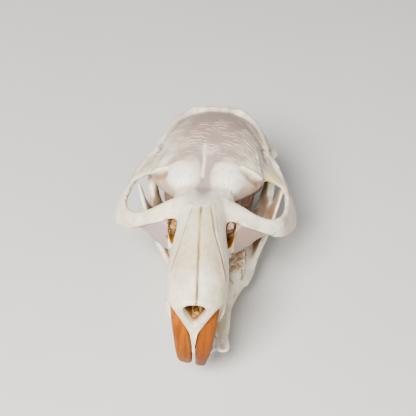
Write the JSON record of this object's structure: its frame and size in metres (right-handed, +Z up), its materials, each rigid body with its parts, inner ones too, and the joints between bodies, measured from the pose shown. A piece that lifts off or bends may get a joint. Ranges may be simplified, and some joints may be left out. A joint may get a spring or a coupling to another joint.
{
  "type": "muskrat skull",
  "caption": "Life-size muskrat skull resting on its lower jaw, with orange front teeth, open cheek arches and the jaw swung a little to one side.",
  "frame": {"origin": "middle of the skull's footprint, on the floor that the lower jaw rests on", "axes": "+Z up, -Y the way the skull faces, +X to the animal's left"},
  "size_m": [0.0404, 0.0634, 0.0342],
  "materials": {
    "bone": "satin",
    "ear_bone": "matte",
    "orange_enamel": "gloss",
    "worn_enamel": "satin"
  },
  "bodies": {
    "root": {"braincase": "bone", "snout": "bone", "zygomatic_arch_left": "bone", "zygomatic_arch_right": "bone", "bulla_left": "ear_bone", "bulla_right": "ear_bone", "mandible_left": "bone", "mandible_right": "bone", "upper_incisor_left": "orange_enamel", "upper_incisor_right": "orange_enamel", "lower_incisor_left": "worn_enamel", "lower_incisor_right": "worn_enamel"}
  },
  "joints": []
}
